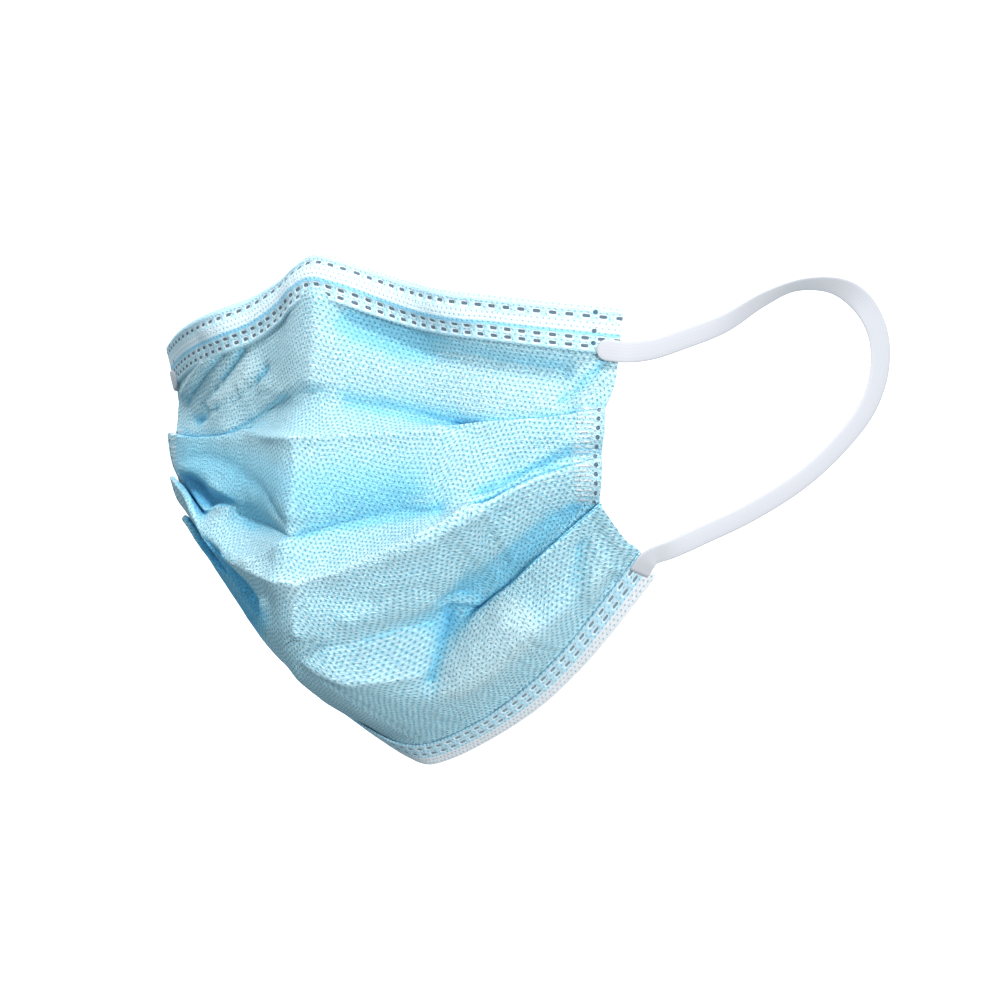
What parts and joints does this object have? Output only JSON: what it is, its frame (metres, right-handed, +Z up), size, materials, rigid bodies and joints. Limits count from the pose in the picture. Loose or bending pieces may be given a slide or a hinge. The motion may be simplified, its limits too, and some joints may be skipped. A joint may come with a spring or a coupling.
{
  "type": "surgical face mask",
  "caption": "Pleated disposable face mask opened to its worn shape, with bound edges, a bendable nose strip and elastic ear loops; covers the nose, mouth and chin.",
  "frame": {"origin": "peak of the upper hem, at the middle of its top edge, where the mask hangs on the bridge of the nose", "axes": "+X to the wearer's left, +Y back towards the face, +Z up; the outer face looks along -Y"},
  "size_m": [0.1868, 0.1123, 0.1282],
  "materials": {
    "body_cloth": "matte nonwoven polypropylene, light blue",
    "upper_hem_cloth": "matte nonwoven polypropylene, near white",
    "lower_hem_cloth": "matte nonwoven polypropylene, near white",
    "nose_strip": "plastic-coated wire, satin",
    "ear_elastic": "flat knitted elastic, white"
  },
  "bodies": {
    "root": {"mask_body": "body_cloth", "upper_hem": "upper_hem_cloth", "lower_hem": "lower_hem_cloth", "nose_wire": "nose_strip", "ear_loop_left": "ear_elastic", "ear_loop_right": "ear_elastic"}
  },
  "joints": []
}
